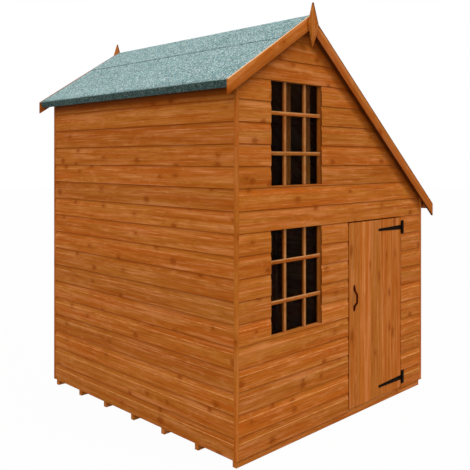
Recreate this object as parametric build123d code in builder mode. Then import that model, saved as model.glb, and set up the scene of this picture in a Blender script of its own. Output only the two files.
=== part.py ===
from build123d import *

import os
from math import cos, radians, sin, tan

# Two-storey wooden playhouse shed: clad timber walls on a floor of bearers, an uneven gable
# roof under mineral felt, two fixed windows one over the other and a ledged door on T hinges.
# Millimetres. X runs along the front to the right, Y to the back and Z up. The origin is on
# the ground, under the middle of the floor.

os.makedirs("parts", exist_ok=True)

# Walls
width = 1814
depth = 1806
cladding_bottom = 40
cladding_thickness = 12
timber = 28
strip_reach = 17
strip_proud = 2

# Floor
bearer_count = 7
bearer_width = 28
bearer_height = 44
floor_thickness = 12
threshold_setback = 6

# Roof
ridge_from_left = 558.5
ridge_height = 2382
left_pitch = 32.5
right_pitch = 39.7
side_overhang = 94
gable_overhang = 40
roof_board_thickness = 12
felt_thickness = 2.5
ridge_sheet_reach = 295
eaves_depth = 43
ridge_beam_height = 60
purlin_height = 45
barge_width = 65
barge_thickness = 14

# Finials
finial_height = 243
finial_rise = 66
finial_width = 78
finial_shoulder = 120
finial_hollow = 2.5
finial_tip = 3
finial_thickness = 16

# Windows
window_from_left = 263
window_width = 436
window_height = 567
upper_window_drop = 387
window_spacing = 805
glass_setback = 32
glass_thickness = 3

# Loft
loft_reach = 900
loft_over_window = 107
loft_board_thickness = 12
loft_joist_count = 5
joist_height = 45
joist_width = 28
ledger_height = 45

# Doorway and door
doorway_from_left = 957
doorway_width = 599.5
doorway_head = 1190
door_side_gap = 7
door_top_gap = 7
door_bottom_gap = 6
door_board_count = 5
groove_width = 4
groove_depth = 2
stop_width = 12
stop_thickness = 12
stop_gap = 6
ledge_height = 70
ledge_thickness = 18
ledge_inset = 26
ledge_margin = 60
brace_width = 60

# T hinges
hinge_inset = 64
knuckle_radius = 5
pin_radius = 2.5
pin_clearance = 0.05
plate_height = 88
plate_width = 32
plate_relief = 6.5
strap_knuckle_height = 32
knuckle_play = 0.5
strap_thickness = 3
strap_length = 270
strap_root_height = 29
strap_tip_height = 15

# Bow handle
handle_inset = 52
handle_level = 720
handle_length = 148
handle_foot = 22
handle_bow = 54
handle_standoff = 29
handle_radius = 4
handle_pad_width = 13
handle_pad_thickness = 3
handle_bend = 12

# Places that follow from the sizes
left_face = -width / 2
right_face = width / 2
front_face = -depth / 2
back_face = depth / 2
left_frame = left_face + cladding_thickness
right_frame = right_face - cladding_thickness
front_frame = front_face + cladding_thickness
back_frame = back_face - cladding_thickness
left_room = left_frame + timber
right_room = right_frame - timber
front_room = front_frame + timber
back_room = back_frame - timber
floor_top = bearer_height + floor_thickness
plate_top = floor_top + timber
roof_front = front_face - gable_overhang
roof_back = back_face + gable_overhang
barge_inner_front = roof_front + barge_thickness
barge_inner_back = roof_back - barge_thickness
ridge_x = left_face + ridge_from_left
felt_under = 2 * felt_thickness
boards_under = felt_under + roof_board_thickness
rafters_under = boards_under + timber
window_left = left_face + window_from_left
window_right = window_left + window_width
upper_window_head = ridge_height - upper_window_drop
lower_window_head = upper_window_head - window_spacing
lower_window_sill = lower_window_head - window_height
upper_window_sill = upper_window_head - window_height
loft_level = lower_window_head + loft_over_window
doorway_left = left_face + doorway_from_left
doorway_right = doorway_left + doorway_width
door_left = doorway_left + door_side_gap
door_right = doorway_right - door_side_gap
door_bottom = bearer_height + door_bottom_gap
door_top = doorway_head - door_top_gap
door_back = front_face + cladding_thickness
hinge_x = doorway_right - door_side_gap / 2
hinge_y = front_face - knuckle_radius
hinge_levels = (door_bottom + hinge_inset, door_top - hinge_inset)
loft_right = left_face + loft_reach

# Roof planes. A depth is measured square to the slope, down from the top of the ridge felt.
pitch = {-1: radians(left_pitch), 1: radians(right_pitch)}
eaves_run = {
    -1: (ridge_x - left_face + side_overhang) / cos(pitch[-1]),
    1: (right_face + side_overhang - ridge_x) / cos(pitch[1]),
}


def ridge_point(below):
    """The corner where the two slopes meet at one depth."""
    shift = below * (1 / cos(pitch[-1]) - 1 / cos(pitch[1])) / (tan(pitch[-1]) + tan(pitch[1]))
    return ridge_x + shift, ridge_height - below / cos(pitch[-1]) + shift * tan(pitch[-1])


def slope_point(side, run, below):
    """A point `run` down the slope from the ridge, on the left (-1) or the right (1)."""
    x = ridge_x + side * (run * cos(pitch[side]) - below * sin(pitch[side]))
    return x, ridge_height - run * sin(pitch[side]) - below * cos(pitch[side])


def roof_height(side, x, below):
    """The height of one slope's plane at a place x."""
    return ridge_height - below / cos(pitch[side]) - abs(x - ridge_x) * tan(pitch[side])


def cross_section(points, y_front, y_back, mode=Mode.ADD):
    """A prism with the outline (x, z) that runs from y_front to y_back."""
    with BuildSketch(Plane.XZ.offset(-y_back)) as outline:
        with BuildLine():
            Polyline(*points, close=True)
        make_face()
    extrude(outline.sketch, amount=y_back - y_front, mode=mode)


def timber_piece(x_range, y_range, z_range):
    """A straight piece of sawn timber between three pairs of planes."""
    size = [high - low for low, high in (x_range, y_range, z_range)]
    with Locations((x_range[0], y_range[0], z_range[0])):
        Box(*size, align=(Align.MIN, Align.MIN, Align.MIN))


def trim_under_roof(below):
    """Cuts what is built so far to the roof plane at one depth."""
    reach = side_overhang * 2
    left_end = left_face - reach
    right_end = right_face + reach
    sky = [
        (left_end, roof_height(-1, left_end, below)),
        ridge_point(below),
        (right_end, roof_height(1, right_end, below)),
        (right_end, ridge_height * 2),
        (left_end, ridge_height * 2),
    ]
    cross_section(sky, roof_front, roof_back, mode=Mode.SUBTRACT)


# Floor: seven bearers on the ground and the boards across them. The boards stop short of the
# front, which leaves the door free to close in front of them.
with BuildPart() as floor_bearers:
    bearer_pitch = (depth - 2 * cladding_thickness - bearer_width) / (bearer_count - 1)
    with GridLocations(0, bearer_pitch, 1, bearer_count):
        Box(
            width - 2 * cladding_thickness,
            bearer_width,
            bearer_height,
            align=(Align.CENTER, Align.CENTER, Align.MIN),
        )
floor_bearers.part.label = "floor_bearers"
export_step(floor_bearers.part, "parts/floor_bearers.step")

with BuildPart() as floor_boards:
    timber_piece(
        (left_frame, right_frame),
        (front_frame + threshold_setback, back_frame),
        (bearer_height, floor_top),
    )
floor_boards.part.label = "floor_boards"
export_step(floor_boards.part, "parts/floor_boards.step")

# Cladding: one skin a wall, cut to the underside of the roof boards. The front skin is in
# three pieces round the doorway, and the first of them has both window openings.
with BuildPart() as left_wall_cladding:
    timber_piece(
        (left_face, left_frame),
        (front_face + strip_reach, back_face - strip_reach),
        (cladding_bottom, ridge_height),
    )
    trim_under_roof(boards_under)
left_wall_cladding.part.label = "left_wall_cladding"
export_step(left_wall_cladding.part, "parts/left_wall_cladding.step")

with BuildPart() as right_wall_cladding:
    timber_piece(
        (right_frame, right_face),
        (front_face + strip_reach, back_face - strip_reach),
        (cladding_bottom, ridge_height),
    )
    trim_under_roof(boards_under)
right_wall_cladding.part.label = "right_wall_cladding"
export_step(right_wall_cladding.part, "parts/right_wall_cladding.step")

with BuildPart() as back_wall_cladding:
    timber_piece(
        (left_face + strip_reach, right_face - strip_reach),
        (back_frame, back_face),
        (cladding_bottom, ridge_height),
    )
    trim_under_roof(boards_under)
back_wall_cladding.part.label = "back_wall_cladding"
export_step(back_wall_cladding.part, "parts/back_wall_cladding.step")

with BuildPart() as front_wall_window_side:
    timber_piece(
        (left_face + strip_reach, doorway_left),
        (front_face, front_frame),
        (cladding_bottom, ridge_height),
    )
    trim_under_roof(boards_under)
    window_centre = (window_left + window_right) / 2
    window_levels = (lower_window_sill, upper_window_sill)
    with BuildSketch(Plane.XZ.offset(-front_frame)):
        with Locations(*[(window_centre, sill + window_height / 2) for sill in window_levels]):
            Rectangle(window_width, window_height)
    extrude(amount=cladding_thickness, mode=Mode.SUBTRACT)
front_wall_window_side.part.label = "front_wall_window_side"
export_step(front_wall_window_side.part, "parts/front_wall_window_side.step")

with BuildPart() as front_wall_over_door:
    timber_piece(
        (doorway_left, right_face - strip_reach),
        (front_face, front_frame),
        (doorway_head, ridge_height),
    )
    trim_under_roof(boards_under)
front_wall_over_door.part.label = "front_wall_over_door"
export_step(front_wall_over_door.part, "parts/front_wall_over_door.step")

with BuildPart() as front_wall_beside_door:
    timber_piece(
        (doorway_right, right_face - strip_reach),
        (front_face, front_frame),
        (cladding_bottom, doorway_head),
    )
front_wall_beside_door.part.label = "front_wall_beside_door"
export_step(front_wall_beside_door.part, "parts/front_wall_beside_door.step")

# Corner strips: rebated battens that close the ends of the boards at the four corners and
# stand a little proud of them.
corners = {
    "front_left": (left_face, front_face, 1, 1),
    "front_right": (right_face, front_face, -1, 1),
    "back_left": (left_face, back_face, 1, -1),
    "back_right": (right_face, back_face, -1, -1),
}
for corner_name, (corner_x, corner_y, inward_x, inward_y) in corners.items():
    strip_section = [
        (-strip_proud, -strip_proud),
        (strip_reach, -strip_proud),
        (strip_reach, cladding_thickness),
        (cladding_thickness, cladding_thickness),
        (cladding_thickness, strip_reach),
        (-strip_proud, strip_reach),
    ]
    with BuildPart() as corner_strip:
        with BuildSketch(Plane.XY.offset(cladding_bottom)):
            with BuildLine():
                Polyline(
                    *[(corner_x + inward_x * a, corner_y + inward_y * b) for a, b in strip_section],
                    close=True,
                )
            make_face()
        extrude(amount=ridge_height)
        trim_under_roof(boards_under)
    corner_strip.part.label = f"corner_strip_{corner_name}"
    export_step(corner_strip.part, f"parts/corner_strip_{corner_name}.step")

# Wall frames. The front and back frames hold the corner posts, so the side frames have only
# the studs and the plates between them.
with BuildPart() as front_wall_studs:
    front_stud_places = (
        left_frame,
        window_left - timber,
        window_right,
        doorway_left - timber,
        doorway_right,
        right_frame - timber,
    )
    for stud_left in front_stud_places:
        timber_piece(
            (stud_left, stud_left + timber), (front_frame, front_room), (plate_top, ridge_height)
        )
    trim_under_roof(rafters_under)
front_wall_studs.part.label = "front_wall_studs"
export_step(front_wall_studs.part, "parts/front_wall_studs.step")

with BuildPart() as front_wall_rails:
    front_rails = (
        (left_frame, doorway_left, floor_top),
        (doorway_right, right_frame, floor_top),
        (window_left, window_right, lower_window_sill - timber),
        (window_left, window_right, lower_window_head),
        (window_left, window_right, upper_window_sill - timber),
        (window_left, window_right, upper_window_head),
        (doorway_left, doorway_right, doorway_head),
    )
    for rail_left, rail_right, rail_bottom in front_rails:
        timber_piece(
            (rail_left, rail_right), (front_frame, front_room), (rail_bottom, rail_bottom + timber)
        )
    trim_under_roof(rafters_under)
front_wall_rails.part.label = "front_wall_rails"
export_step(front_wall_rails.part, "parts/front_wall_rails.step")

back_stud_count = 5
with BuildPart() as back_wall_studs:
    back_stud_pitch = (right_frame - left_frame - timber) / (back_stud_count - 1)
    for stud in range(back_stud_count):
        stud_left = left_frame + stud * back_stud_pitch
        timber_piece(
            (stud_left, stud_left + timber), (back_room, back_frame), (plate_top, ridge_height)
        )
    trim_under_roof(rafters_under)
back_wall_studs.part.label = "back_wall_studs"
export_step(back_wall_studs.part, "parts/back_wall_studs.step")

with BuildPart() as back_wall_plate:
    timber_piece((left_frame, right_frame), (back_room, back_frame), (floor_top, plate_top))
back_wall_plate.part.label = "back_wall_plate"
export_step(back_wall_plate.part, "parts/back_wall_plate.step")

side_frames = (
    (left_frame, left_room, roof_height(-1, left_frame, boards_under) - timber),
    (right_room, right_frame, roof_height(1, right_frame, boards_under) - timber),
)
side_stud_count = 3
with BuildPart() as side_wall_studs:
    side_stud_pitch = (back_room - front_room) / (side_stud_count + 1)
    for frame_left, frame_right, top_plate_bottom in side_frames:
        for stud in range(1, side_stud_count + 1):
            stud_middle = front_room + stud * side_stud_pitch
            timber_piece(
                (frame_left, frame_right),
                (stud_middle - timber / 2, stud_middle + timber / 2),
                (plate_top, top_plate_bottom),
            )
side_wall_studs.part.label = "side_wall_studs"
export_step(side_wall_studs.part, "parts/side_wall_studs.step")

with BuildPart() as side_wall_plates:
    for frame_left, frame_right, top_plate_bottom in side_frames:
        timber_piece((frame_left, frame_right), (front_room, back_room), (floor_top, plate_top))
        timber_piece(
            (frame_left, frame_right), (front_room, back_room), (top_plate_bottom, ridge_height)
        )
    trim_under_roof(boards_under)
side_wall_plates.part.label = "side_wall_plates"
export_step(side_wall_plates.part, "parts/side_wall_plates.step")

# Roof timbers: a ridge beam between the gables, a rafter under each gable slope that butts
# against it, and one purlin halfway down each slope.
beam_left = ridge_x - timber / 2
beam_right = ridge_x + timber / 2
with BuildPart() as ridge_beam:
    beam_bottom = ridge_point(boards_under)[1] - ridge_beam_height
    timber_piece((beam_left, beam_right), (front_frame, back_frame), (beam_bottom, ridge_height))
    trim_under_roof(boards_under)
ridge_beam.part.label = "ridge_beam"
export_step(ridge_beam.part, "parts/ridge_beam.step")

with BuildPart() as gable_rafters:
    for rafter_front, rafter_back in ((front_frame, front_room), (back_room, back_frame)):
        for side, low_end, high_end in ((-1, left_frame, beam_left), (1, right_frame, beam_right)):
            rafter = [
                (low_end, roof_height(side, low_end, boards_under)),
                (high_end, roof_height(side, high_end, boards_under)),
                (high_end, roof_height(side, high_end, rafters_under)),
                (low_end, roof_height(side, low_end, rafters_under)),
            ]
            cross_section(rafter, rafter_front, rafter_back)
gable_rafters.part.label = "gable_rafters"
export_step(gable_rafters.part, "parts/gable_rafters.step")

with BuildPart() as roof_purlins:
    for side in (-1, 1):
        purlin_run = (eaves_run[side] - side_overhang) / 2
        purlin = [
            slope_point(side, purlin_run - timber / 2, boards_under),
            slope_point(side, purlin_run + timber / 2, boards_under),
            slope_point(side, purlin_run + timber / 2, boards_under + purlin_height),
            slope_point(side, purlin_run - timber / 2, boards_under + purlin_height),
        ]
        cross_section(purlin, front_room, back_room)
roof_purlins.part.label = "roof_purlins"
export_step(roof_purlins.part, "parts/roof_purlins.step")

# Roof boards, and the rail that stiffens their edge at the eaves.
side_names = {-1: "left", 1: "right"}
for side, side_name in side_names.items():
    boards_end = eaves_run[side] - felt_thickness
    with BuildPart() as roof_boards:
        board_section = [
            ridge_point(felt_under),
            slope_point(side, boards_end, felt_under),
            slope_point(side, boards_end, boards_under),
            ridge_point(boards_under),
        ]
        cross_section(board_section, barge_inner_front, barge_inner_back)
    roof_boards.part.label = f"roof_boards_{side_name}"
    export_step(roof_boards.part, f"parts/roof_boards_{side_name}.step")

with BuildPart() as eaves_rails:
    for side in side_names:
        boards_end = eaves_run[side] - felt_thickness
        rail_section = [
            slope_point(side, boards_end - timber, boards_under),
            slope_point(side, boards_end, boards_under),
            slope_point(side, boards_end, eaves_depth),
            slope_point(side, boards_end - timber, eaves_depth),
        ]
        cross_section(rail_section, barge_inner_front, barge_inner_back)
eaves_rails.part.label = "eaves_rails"
export_step(eaves_rails.part, "parts/eaves_rails.step")

# Felt: a sheet on each slope, turned down over the eaves rail, and a ridge sheet lapped over
# both. All three end between the barge boards.
for side, side_name in side_names.items():
    eaves_end = eaves_run[side]
    with BuildPart() as felt_sheet:
        sheet_section = [
            ridge_point(felt_thickness),
            slope_point(side, eaves_end, felt_thickness),
            slope_point(side, eaves_end, felt_under),
            ridge_point(felt_under),
        ]
        cross_section(sheet_section, barge_inner_front, barge_inner_back)
        fold_section = [
            slope_point(side, eaves_end - felt_thickness, felt_under),
            slope_point(side, eaves_end, felt_under),
            slope_point(side, eaves_end, eaves_depth),
            slope_point(side, eaves_end - felt_thickness, eaves_depth),
        ]
        cross_section(fold_section, barge_inner_front, barge_inner_back)
    felt_sheet.part.label = f"felt_{side_name}"
    export_step(felt_sheet.part, f"parts/felt_{side_name}.step")

with BuildPart() as felt_ridge:
    ridge_sheet_section = [
        ridge_point(0),
        slope_point(1, ridge_sheet_reach, 0),
        slope_point(1, ridge_sheet_reach, felt_thickness),
        ridge_point(felt_thickness),
        slope_point(-1, ridge_sheet_reach, felt_thickness),
        slope_point(-1, ridge_sheet_reach, 0),
    ]
    cross_section(ridge_sheet_section, barge_inner_front, barge_inner_back)
felt_ridge.part.label = "felt_ridge"
export_step(felt_ridge.part, "parts/felt_ridge.step")

# Barge boards: nailed to the ends of the roof boards with their top edges flush with the
# felt, mitred at the ridge and cut plumb at the eaves.
gable_ends = {
    "front": (roof_front, barge_inner_front),
    "back": (barge_inner_back, roof_back),
}
for end_name, (barge_front, barge_back) in gable_ends.items():
    for side, side_name in side_names.items():
        tip_x = ridge_x + side * eaves_run[side] * cos(pitch[side])
        with BuildPart() as barge_board:
            barge_section = [
                ridge_point(0),
                (tip_x, roof_height(side, tip_x, 0)),
                (tip_x, roof_height(side, tip_x, barge_width)),
                ridge_point(barge_width),
            ]
            cross_section(barge_section, barge_front, barge_back)
        barge_board.part.label = f"barge_board_{end_name}_{side_name}"
        export_step(barge_board.part, f"parts/barge_board_{end_name}_{side_name}.step")

# Finials: spear shapes over the mitre of the barge boards, with hollow flanks and a blunt tip
# at the top and at the bottom.
finial_top = ridge_height + finial_rise
finial_waist = finial_top - finial_shoulder
finial_bottom = finial_top - finial_height
for end_name, finial_back in (("front", roof_front), ("back", roof_back + finial_thickness)):
    with BuildPart() as finial:
        with BuildSketch(Plane.XZ.offset(-finial_back)):
            with BuildLine():
                for level_tip in (finial_top, finial_bottom):
                    flank_x = (finial_tip + finial_width) / 4 - finial_hollow
                    flank_z = (level_tip + finial_waist) / 2
                    for flank in (-1, 1):
                        ThreePointArc(
                            (ridge_x + flank * finial_tip / 2, level_tip),
                            (ridge_x + flank * flank_x, flank_z),
                            (ridge_x + flank * finial_width / 2, finial_waist),
                        )
                    Line(
                        (ridge_x - finial_tip / 2, level_tip),
                        (ridge_x + finial_tip / 2, level_tip),
                    )
            make_face()
        extrude(amount=finial_thickness)
    finial.part.label = f"finial_{end_name}"
    export_step(finial.part, f"parts/finial_{end_name}.step")

# Window panes: set between the window studs and rails, behind the place of the glazing bars.
for window_name, window_sill in (("lower", lower_window_sill), ("upper", upper_window_sill)):
    with BuildPart() as window_glass:
        timber_piece(
            (window_left, window_right),
            (front_face + glass_setback, front_face + glass_setback + glass_thickness),
            (window_sill, window_sill + window_height),
        )
    window_glass.part.label = f"{window_name}_window_glass"
    export_step(window_glass.part, f"parts/{window_name}_window_glass.step")

# Loft over the left side: two ledgers on the gable frames carry the joists and the boards.
joist_top = loft_level - loft_board_thickness
joist_bottom = joist_top - joist_height
with BuildPart() as loft_ledgers:
    for ledger_front in (front_room, back_room - timber):
        timber_piece(
            (left_room, loft_right),
            (ledger_front, ledger_front + timber),
            (joist_bottom - ledger_height, joist_bottom),
        )
loft_ledgers.part.label = "loft_ledgers"
export_step(loft_ledgers.part, "parts/loft_ledgers.step")

with BuildPart() as loft_joists:
    joist_pitch = (loft_right - left_room - joist_width) / (loft_joist_count - 1)
    for joist in range(loft_joist_count):
        joist_left = left_room + joist * joist_pitch
        timber_piece(
            (joist_left, joist_left + joist_width), (front_room, back_room), (joist_bottom, joist_top)
        )
loft_joists.part.label = "loft_joists"
export_step(loft_joists.part, "parts/loft_joists.step")

with BuildPart() as loft_boards:
    timber_piece((left_room, loft_right), (front_room, back_room), (joist_top, loft_level))
loft_boards.part.label = "loft_boards"
export_step(loft_boards.part, "parts/loft_boards.step")

# Door stops: one on each door post, a little behind the closed door.
with BuildPart() as door_stops:
    for stop_left in (doorway_left, doorway_right - stop_width):
        timber_piece(
            (stop_left, stop_left + stop_width),
            (door_back + stop_gap, door_back + stop_gap + stop_thickness),
            (floor_top, doorway_head),
        )
door_stops.part.label = "door_stops"
export_step(door_stops.part, "parts/door_stops.step")

# Door: a leaf of upright boards with a V joint between each two, held by three ledges and two
# braces behind. The leaf is flush with the cladding.
board_width = (door_right - door_left) / door_board_count
with BuildPart() as door_boards:
    timber_piece((door_left, door_right), (front_face, door_back), (door_bottom, door_top))
    with BuildSketch(Plane.XY.offset(door_bottom)):
        for board in range(1, door_board_count):
            joint_x = door_left + board * board_width
            with BuildLine():
                Polyline(
                    (joint_x - groove_width / 2, front_face),
                    (joint_x, front_face + groove_depth),
                    (joint_x + groove_width / 2, front_face),
                    close=True,
                )
            make_face()
    extrude(amount=door_top - door_bottom, mode=Mode.SUBTRACT)
door_boards.part.label = "door_boards"
export_step(door_boards.part, "parts/door_boards.step")

ledge_left = door_left + ledge_inset
ledge_right = door_right - ledge_inset
ledge_back = door_back + ledge_thickness
lowest_ledge = door_bottom + ledge_margin
highest_ledge = door_top - ledge_margin - ledge_height
middle_ledge = (lowest_ledge + highest_ledge) / 2
with BuildPart() as door_ledges:
    for ledge_bottom in (lowest_ledge, middle_ledge, highest_ledge):
        timber_piece(
            (ledge_left, ledge_right), (door_back, ledge_back), (ledge_bottom, ledge_bottom + ledge_height)
        )
door_ledges.part.label = "door_ledges"
export_step(door_ledges.part, "parts/door_ledges.step")

with BuildPart() as door_braces:
    for brace_bottom, brace_top in ((lowest_ledge, middle_ledge), (middle_ledge, highest_ledge)):
        brace_outline = [
            (ledge_right - brace_width, brace_bottom + ledge_height),
            (ledge_right, brace_bottom + ledge_height),
            (ledge_left + brace_width, brace_top),
            (ledge_left, brace_top),
        ]
        cross_section(brace_outline, door_back, ledge_back)
door_braces.part.label = "door_braces"
export_step(door_braces.part, "parts/door_braces.step")

# T hinges: the plate is screwed to the wall and carries the pin between two outer knuckles.
# The strap's own knuckle turns on the pin, and the strap tapers to a round end on the door.
with BuildPart() as hinge_plates:
    for hinge_z in hinge_levels:
        plate_bottom = hinge_z - plate_height / 2
        with BuildSketch(Plane.XZ.offset(-front_face)):
            with Locations((hinge_x + plate_width / 2, hinge_z)):
                Rectangle(plate_width, plate_height)
            with Locations((hinge_x, hinge_z)):
                Rectangle(
                    2 * plate_relief, strap_knuckle_height + 2 * knuckle_play, mode=Mode.SUBTRACT
                )
        extrude(amount=strap_thickness)
        with BuildSketch(Plane.XY.offset(hinge_z - strap_knuckle_height)):
            with Locations((hinge_x, hinge_y)):
                Circle(knuckle_radius)
        extrude(amount=2 * strap_knuckle_height)
        with BuildSketch(Plane.XY.offset(hinge_z - strap_knuckle_height / 2 - knuckle_play)):
            with Locations((hinge_x, hinge_y)):
                Circle(plate_relief)
                Circle(pin_radius, mode=Mode.SUBTRACT)
        extrude(amount=strap_knuckle_height + 2 * knuckle_play, mode=Mode.SUBTRACT)
hinge_plates.part.label = "hinge_plates"
export_step(hinge_plates.part, "parts/hinge_plates.step")

with BuildPart() as hinge_straps:
    for hinge_z in hinge_levels:
        tip_radius = strap_tip_height / 2
        tip_x = hinge_x - strap_length + tip_radius
        with BuildSketch(Plane.XZ.offset(-front_face)):
            with BuildLine():
                Polyline(
                    (tip_x, hinge_z + tip_radius),
                    (hinge_x, hinge_z + strap_root_height / 2),
                    (hinge_x, hinge_z - strap_root_height / 2),
                    (tip_x, hinge_z - tip_radius),
                )
                ThreePointArc(
                    (tip_x, hinge_z - tip_radius),
                    (tip_x - tip_radius, hinge_z),
                    (tip_x, hinge_z + tip_radius),
                )
            make_face()
        extrude(amount=strap_thickness)
        with BuildSketch(Plane.XY.offset(hinge_z - strap_knuckle_height / 2)):
            with Locations((hinge_x, hinge_y)):
                Circle(knuckle_radius)
        extrude(amount=strap_knuckle_height)
        with BuildSketch(Plane.XY.offset(hinge_z - strap_knuckle_height / 2)):
            with Locations((hinge_x, hinge_y)):
                Circle(pin_radius + pin_clearance)
        extrude(amount=strap_knuckle_height, mode=Mode.SUBTRACT)
hinge_straps.part.label = "hinge_straps"
export_step(hinge_straps.part, "parts/hinge_straps.step")

# Bow handle: a round bar that stands off the door between two flat feet.
handle_x = door_left + handle_inset
handle_y = front_face - handle_pad_thickness - handle_radius / 2
with BuildPart() as door_handle:
    half_length = handle_length / 2
    foot_end = half_length - handle_foot
    with BuildLine(Plane.YZ.offset(handle_x)) as handle_path:
        FilletPolyline(
            (handle_y, handle_level + half_length),
            (handle_y, handle_level + foot_end),
            (front_face - handle_standoff + handle_radius, handle_level + handle_bow / 2),
            (front_face - handle_standoff + handle_radius, handle_level - handle_bow / 2),
            (handle_y, handle_level - foot_end),
            (handle_y, handle_level - half_length),
            radius=handle_bend,
        )
    with BuildSketch(Plane(origin=handle_path.line @ 0, z_dir=handle_path.line % 0)):
        Circle(handle_radius)
    sweep()
    with BuildSketch(Plane.XZ.offset(-front_face)):
        for foot_sign in (-1, 1):
            foot_middle = handle_level + foot_sign * (half_length - handle_foot / 2)
            with Locations((handle_x, foot_middle)):
                SlotOverall(handle_foot + handle_pad_width, handle_pad_width, rotation=90)
    extrude(amount=handle_pad_thickness)
door_handle.part.label = "door_handle"
export_step(door_handle.part, "parts/door_handle.step")
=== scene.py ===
from math import asin, ceil, cos, pi, radians, sin

import bmesh
import bpy
from mathutils import Euler, Matrix, Vector, noise


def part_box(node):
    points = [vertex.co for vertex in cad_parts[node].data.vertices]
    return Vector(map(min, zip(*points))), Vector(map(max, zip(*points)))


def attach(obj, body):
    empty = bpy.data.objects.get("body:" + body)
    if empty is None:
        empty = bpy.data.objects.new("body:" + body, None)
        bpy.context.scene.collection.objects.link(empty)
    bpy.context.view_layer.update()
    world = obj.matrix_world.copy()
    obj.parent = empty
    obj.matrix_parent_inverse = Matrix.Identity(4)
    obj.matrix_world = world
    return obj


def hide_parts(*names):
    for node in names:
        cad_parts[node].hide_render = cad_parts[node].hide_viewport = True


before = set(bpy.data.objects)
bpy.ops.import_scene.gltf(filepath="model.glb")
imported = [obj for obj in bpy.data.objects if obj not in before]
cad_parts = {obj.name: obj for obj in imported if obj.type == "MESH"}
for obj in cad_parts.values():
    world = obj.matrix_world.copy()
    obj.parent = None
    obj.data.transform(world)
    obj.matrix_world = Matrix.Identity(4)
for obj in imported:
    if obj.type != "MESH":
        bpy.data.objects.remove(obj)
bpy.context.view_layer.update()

# Camera: at a grown-up's eye height off the front left corner, level, with the lens shifted
# down so that upright edges stay upright.
eye = bpy.data.cameras.new("eye")
eye.sensor_width = 36
eye.lens = 50.63
eye.shift_y = -0.1594
camera = bpy.data.objects.new("camera", eye)
camera.location = (-3.2576, -3.2714, 1.5666)
camera.rotation_euler = (pi / 2, 0, -0.7796)
bpy.context.collection.objects.link(camera)
bpy.context.scene.camera = camera
bpy.context.scene.view_settings.view_transform = "Standard"


# Studio: a plain white floor that keeps a pale shadow, an even white sky, and three soft
# lamps, a low wide one on the left, one on the right and one overhead.
def feed(made, inputs):
    """Gives a shader node's inputs their values, or links other nodes' outputs to them."""
    for socket, value in dict(inputs).items():
        if isinstance(value, bpy.types.NodeSocket):
            made.id_data.links.new(value, made.inputs[socket])
        else:
            made.inputs[socket].default_value = value
    return made


def shade_node(tree, kind, inputs=(), **settings):
    """A new shader node with its settings made and its inputs fed."""
    made = tree.nodes.new("ShaderNode" + kind)
    for setting, value in settings.items():
        setattr(made, setting, value)
    return feed(made, inputs)


def show_white(tree, output, lit, white, share):
    """Shows the eye, also in mirrors and through glass, a share of white in place of lit."""
    ray = shade_node(tree, "LightPath").outputs
    seen = ray["Is Camera Ray"]
    for kind in ("Is Glossy Ray", "Is Transmission Ray"):
        seen = shade_node(tree, "Math", {0: seen, 1: ray[kind]}, operation="ADD", use_clamp=True).outputs[0]
    seen = shade_node(tree, "Math", {0: seen, 1: share}, operation="MULTIPLY").outputs[0]
    both = shade_node(tree, "MixShader", {0: seen, 1: lit.outputs[0], 2: white.outputs[0]})
    shade_node(tree, output, {"Surface": both.outputs[0]})


floor_reach = 30
floor_mesh = bpy.data.meshes.new("studio_floor")
with_floor = bmesh.new()
bmesh.ops.create_grid(with_floor, x_segments=1, y_segments=1, size=floor_reach)
with_floor.to_mesh(floor_mesh)
with_floor.free()
floor = bpy.data.objects.new("studio_floor", floor_mesh)
bpy.context.collection.objects.link(floor)

floor_paint = bpy.data.materials.new("studio_floor")
floor_paint.use_nodes = True
tree = floor_paint.node_tree
tree.nodes.clear()
matt = shade_node(tree, "BsdfDiffuse", {"Color": (0.45, 0.45, 0.45, 1)})
show_white(tree, "OutputMaterial", matt, shade_node(tree, "Emission"), 0.975)
floor_mesh.materials.append(floor_paint)

sky = bpy.data.worlds.new("sky")
bpy.context.scene.world = sky
sky.use_nodes = True
tree = sky.node_tree
tree.nodes.clear()
even = shade_node(tree, "Background", {"Color": (1, 1, 1, 1), "Strength": 0.46})
white = shade_node(tree, "Background", {"Color": (1, 1, 1, 1), "Strength": 1})
show_white(tree, "OutputWorld", even, white, 1)

for lamp_name, strength, spread, turn in (
    ("left_lamp", 1.72, 40, (radians(64), 0, radians(-58))),
    ("right_lamp", 1.3, 20, (radians(44), 0, radians(26))),
    ("top_lamp", 0.9, 30, (0, 0, 0)),
):
    lamp_light = bpy.data.lights.new(lamp_name, "SUN")
    lamp_light.energy = strength
    lamp_light.angle = radians(spread)
    lamp = bpy.data.objects.new(lamp_name, lamp_light)
    lamp.rotation_euler = turn
    bpy.context.collection.objects.link(lamp)


# Cladding: shiplap boards nailed to the wall frames. Each has a hollow scooped into its top
# edge and a lip below that laps over the next board. Stained softwood with grain and knots.
def new_finish(name):
    """A new material, its node tree and its shader."""
    finish = bpy.data.materials.new(name)
    finish.use_nodes = True
    return finish, finish.node_tree, finish.node_tree.nodes["Principled BSDF"]


def clouds(tree, place, scale, detail=2, roughness=0.5):
    """Soft random clouds, from dark to light."""
    inputs = {"Vector": place, "Scale": scale, "Detail": detail, "Roughness": roughness}
    return shade_node(tree, "TexNoise", inputs).outputs["Fac"]


def blend(tree, share, first, second, kind="MIX"):
    """A share of the second colour over the first."""
    inputs = {0: share, 6: first, 7: second}
    return shade_node(tree, "Mix", inputs, data_type="RGBA", blend_type=kind).outputs[2]


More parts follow.
